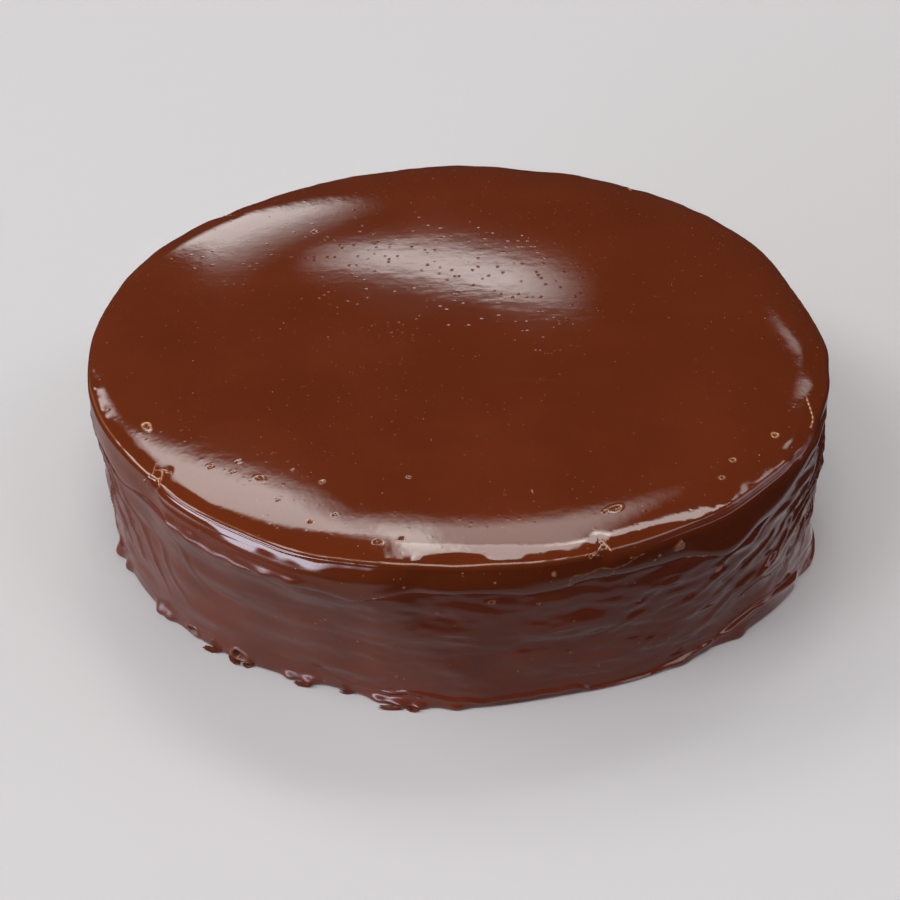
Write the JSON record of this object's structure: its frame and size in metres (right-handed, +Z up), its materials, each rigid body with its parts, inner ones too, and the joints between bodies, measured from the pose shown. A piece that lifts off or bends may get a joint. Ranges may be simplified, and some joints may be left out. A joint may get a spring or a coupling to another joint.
{
  "type": "glazed chocolate cake",
  "caption": "Whole round sachertorte: a low chocolate layer cake under a poured glossy glaze with a rounded lip, set drips and a ragged foot. Stands on its flat underside.",
  "frame": {"origin": "middle of the flat underside that the cake rests on", "axes": "+Z up out of the glazed top, -Y towards the front of the cake, +X to its right"},
  "size_m": [0.2533, 0.2547, 0.0642],
  "materials": {
    "chocolate_glaze": "gloss"
  },
  "bodies": {
    "root": {"glazed_cake": "chocolate_glaze"}
  },
  "joints": []
}
